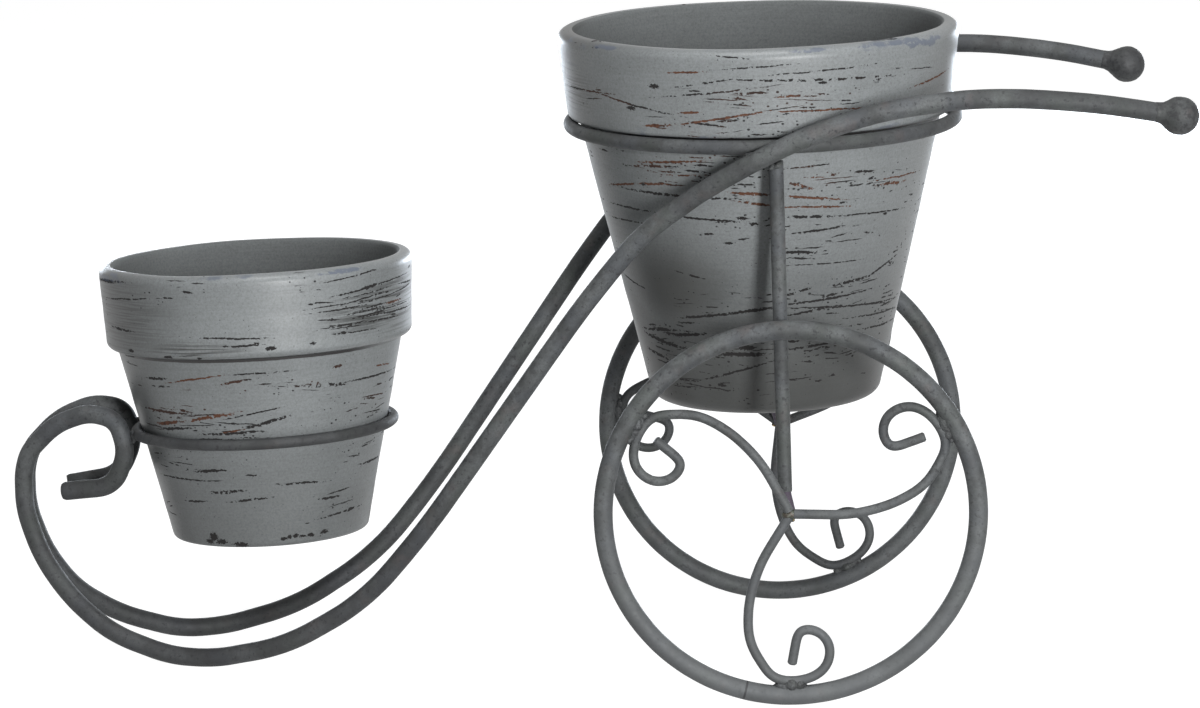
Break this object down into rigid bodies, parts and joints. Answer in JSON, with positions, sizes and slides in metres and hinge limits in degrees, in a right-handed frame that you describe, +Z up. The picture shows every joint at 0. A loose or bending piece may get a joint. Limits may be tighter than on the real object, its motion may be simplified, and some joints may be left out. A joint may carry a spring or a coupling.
{
  "type": "wheelbarrow planter",
  "caption": "Wheelbarrow-shaped plant stand of bent steel rod on curl-spoked hoop wheels, with tapered clay pots of different sizes that lift out of wire rings.",
  "frame": {"origin": "on the floor, halfway along the length and midway between the wheels", "axes": "+X from the curled nose towards the handle knobs, +Y across to the right wheel as seen by someone holding the handles, +Z up"},
  "size_m": [0.5938, 0.2224, 0.328],
  "materials": {
    "painted_clay": "matt grey paint over fired clay, with dry dark brush streaks, specks and chips",
    "rod_steel": "dull lacquered steel with a mottled grey-green patina",
    "ring_wire": "dull lacquered steel wire with a mottled dark grey patina",
    "knob_steel": "dark mottled steel, slightly glossy",
    "weld_metal": "rough dark weld beads under clear lacquer",
    "braze": "rough brown braze with a dull brassy glint"
  },
  "bodies": {
    "frame": {"large_pot_ring": "ring_wire", "large_ring_welds": "weld_metal", "left_frame_rod": "rod_steel", "left_handle_knob": "knob_steel", "left_hub_braze": "braze", "left_hub_stub": "rod_steel", "left_leg": "rod_steel", "left_wheel_rim": "rod_steel", "left_wheel_spoke_1": "rod_steel", "left_wheel_spoke_2": "rod_steel", "left_wheel_spoke_3": "rod_steel", "left_wheel_welds": "weld_metal", "leg_welds": "weld_metal", "right_frame_rod": "rod_steel", "right_handle_knob": "knob_steel", "right_hub_braze": "braze", "right_hub_stub": "rod_steel", "right_leg": "rod_steel", "right_wheel_rim": "rod_steel", "right_wheel_spoke_1": "rod_steel", "right_wheel_spoke_2": "rod_steel", "right_wheel_spoke_3": "rod_steel", "right_wheel_welds": "weld_metal", "small_pot_ring": "ring_wire", "small_ring_welds": "weld_metal"},
    "large_pot": {"large_pot": "painted_clay"},
    "small_pot": {"small_pot": "painted_clay"}
  },
  "joints": [
    {"name": "large_pot_lift", "type": "slide", "parent": "frame", "child": "large_pot", "axis": [-0.0227, 0, 0.9997], "range_m": [0, 0.18]},
    {"name": "small_pot_lift", "type": "slide", "parent": "frame", "child": "small_pot", "axis": [-0.0436, 0.0523, 0.9977], "range_m": [0, 0.09]}
  ]
}
